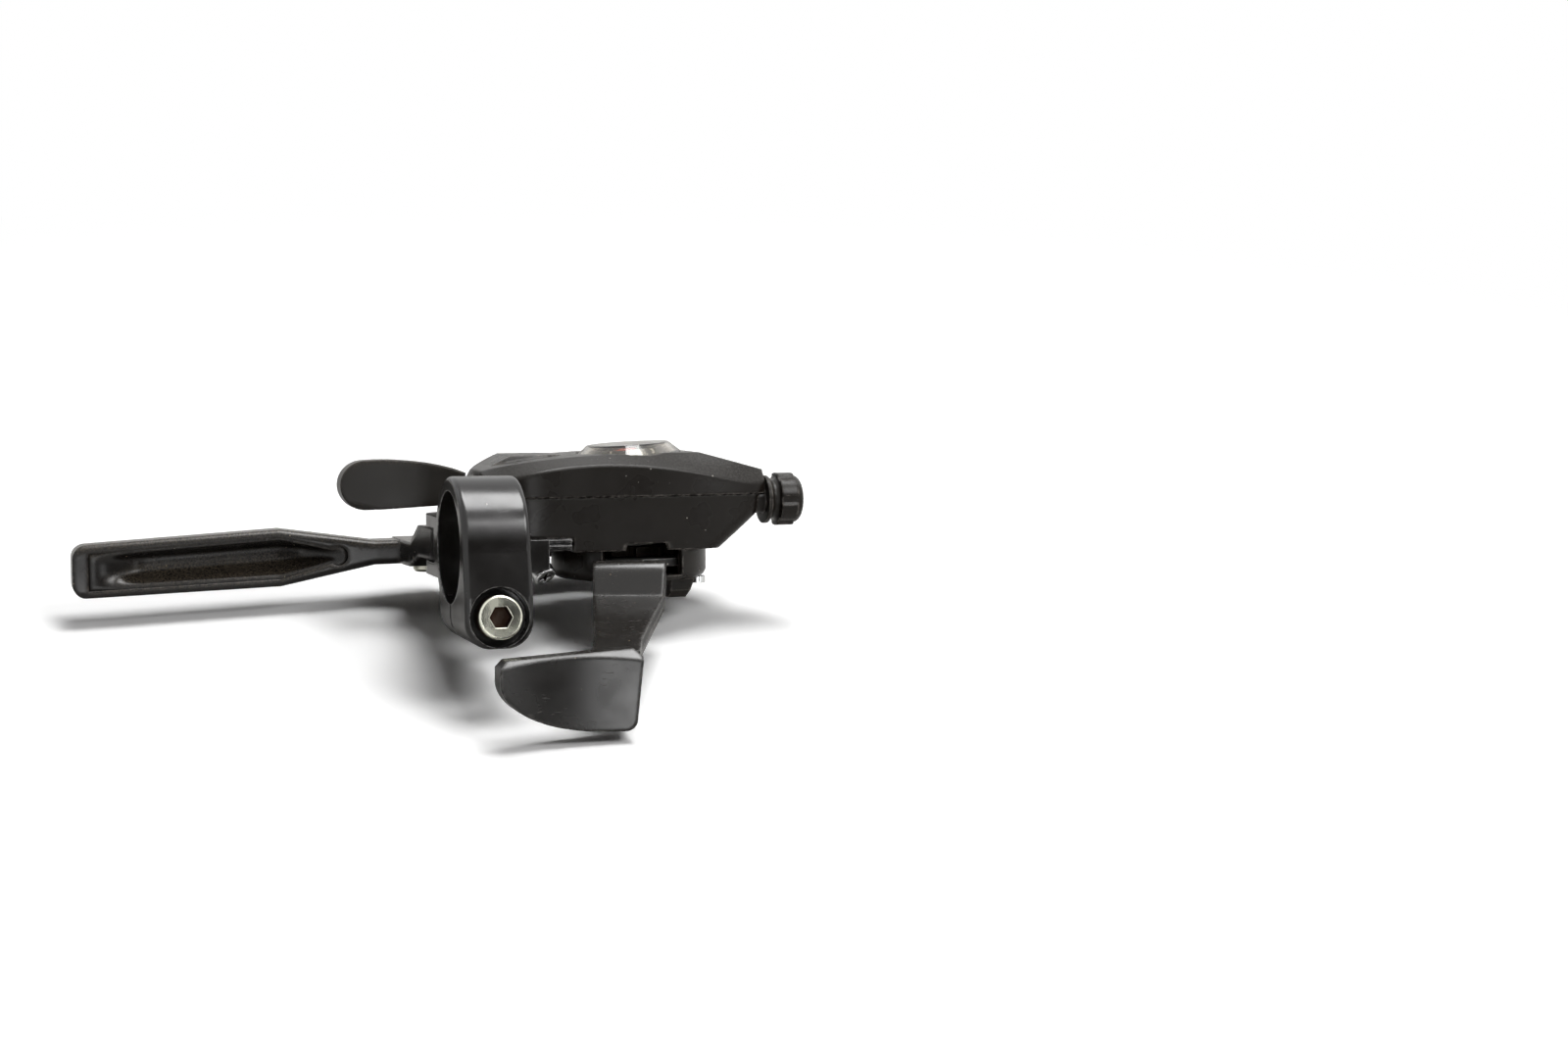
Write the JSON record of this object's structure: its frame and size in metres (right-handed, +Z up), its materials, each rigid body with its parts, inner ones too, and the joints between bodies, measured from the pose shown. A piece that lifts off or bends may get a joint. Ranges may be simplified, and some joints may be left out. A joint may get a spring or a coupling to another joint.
{
  "type": "trigger gear shifter with brake lever",
  "caption": "Left-hand trigger gear shifter with a two-finger brake lever on one cast bracket that clamps round a flat handlebar, with thumb and release levers and a gear dial.",
  "frame": {"origin": "centre of the handlebar clamp's bore", "axes": "+X along the handlebar towards the stem, +Y forward, +Z up as the unit lies on a bench, with the plane of the levers tipped nose down about X"},
  "size_m": [0.1478, 0.0958, 0.0404],
  "materials": {
    "cast_black": "satin black paint on cast aluminium",
    "lever_black": "satin black paint",
    "moulded_black": "fine grained black nylon",
    "thumb_black": "smooth black nylon, worn",
    "zinc": "bright zinc plate",
    "steel": "pressed steel",
    "bush_brass": "plain",
    "drum_nylon": "natural nylon",
    "dial_print": "black with pale numbers",
    "needle_red": "plain",
    "clear_lens": "clear, slightly yellowed"
  },
  "bodies": {
    "housing": {"bracket": "cast_black", "clamp_bolt": "zinc", "unit_screw": "zinc", "reach_screw": "zinc", "lever_axle": "zinc", "axle_clip": "zinc", "barrel_locknut": "moulded_black", "upper_cover": "moulded_black", "lower_cover": "moulded_black", "cover_screws": "zinc", "under_cap": "moulded_black", "cap_screws": "zinc", "main_axle": "steel", "axle_nut": "zinc", "base_plate": "steel", "stop_pin": "steel", "drum_spring": "steel", "thumb_spring": "steel", "release_spring": "steel", "release_pin": "steel", "dial": "dial_print", "lens": "clear_lens", "cable_plug": "moulded_black"},
    "brake_lever": {"brake_lever": "lever_black", "lever_bush": "bush_brass"},
    "cable_hook": {"cable_hook": "zinc"},
    "thumb_lever": {"thumb_arm": "steel", "thumb_paddle": "thumb_black", "feed_pin": "steel"},
    "feed_pawl": {"feed_pawl": "steel"},
    "release_lever": {"release_arm": "steel", "release_paddle": "moulded_black"},
    "stop_pawl": {"stop_pawl": "steel"},
    "winder": {"cable_drum": "drum_nylon", "ratchet_wheel": "steel"},
    "pointer": {"pointer": "needle_red"},
    "shift_barrel": {"shift_barrel": "moulded_black"},
    "brake_barrel": {"brake_barrel": "moulded_black"}
  },
  "joints": [
    {"name": "brake_pull", "type": "hinge", "parent": "housing", "child": "brake_lever", "pos_m": [0.001, 0.02509, -0.00693], "axis": [0, 0.2215, 0.9751], "range_deg": [0, 22]},
    {"name": "hook_swivel", "type": "hinge", "parent": "brake_lever", "child": "cable_hook", "pos_m": [-0.001, 0.05151, -0.01703], "axis": [0, 0.2215, 0.9751], "range_deg": [-30, 30]},
    {"name": "thumb_push", "type": "hinge", "parent": "housing", "child": "thumb_lever", "pos_m": [0.0382, 0.02799, -0.0122], "axis": [0, 0.2215, 0.9751], "range_deg": [0, 30], "stiffness_Nm_per_rad": 0.2, "springref_deg": -20.05},
    {"name": "feed_pawl_rock", "type": "hinge", "parent": "thumb_lever", "child": "feed_pawl", "pos_m": [0.05004, 0.02423, -0.0093], "axis": [0, 0.2215, 0.9751], "range_deg": [-8, 0], "stiffness_Nm_per_rad": 0.01, "springref_deg": 11.46},
    {"name": "release_pull", "type": "hinge", "parent": "housing", "child": "release_lever", "pos_m": [0.016, 0.03821, 0.00116], "axis": [0, 0.2215, 0.9751], "range_deg": [0, 12], "stiffness_Nm_per_rad": 0.15, "springref_deg": -17.19},
    {"name": "stop_pawl_lift", "type": "hinge", "parent": "housing", "child": "stop_pawl", "pos_m": [0.02929, 0.03712, -0.01223], "axis": [0, 0.2215, 0.9751], "range_deg": [-12, 0]},
    {"name": "winder_turn", "type": "hinge", "parent": "housing", "child": "winder", "pos_m": [0.0382, 0.03078, 0.00008], "axis": [0, 0.2215, 0.9751], "range_deg": [0, 60], "stiffness_Nm_per_rad": 0.05, "springref_deg": -28.65},
    {"name": "needle_turn", "type": "hinge", "parent": "housing", "child": "pointer", "pos_m": [0.0382, 0.0328, 0.00896], "axis": [-0.0593, 0.2212, 0.9734], "range_deg": [0, 80]},
    {"name": "shift_adjust", "type": "hinge", "parent": "housing", "child": "shift_barrel", "pos_m": [0.068, 0.02103, 0.0023], "axis": [1, 0, 0], "continuous": true},
    {"name": "brake_adjust", "type": "hinge", "parent": "housing", "child": "brake_barrel", "pos_m": [0.052, 0.05151, -0.01703], "axis": [1, 0, 0], "continuous": true}
  ],
  "couplings": [
    {"joint": "stop_pawl_lift", "follows": "release_pull", "ratio": -0.7},
    {"joint": "needle_turn", "follows": "winder_turn", "ratio": 1}
  ]
}
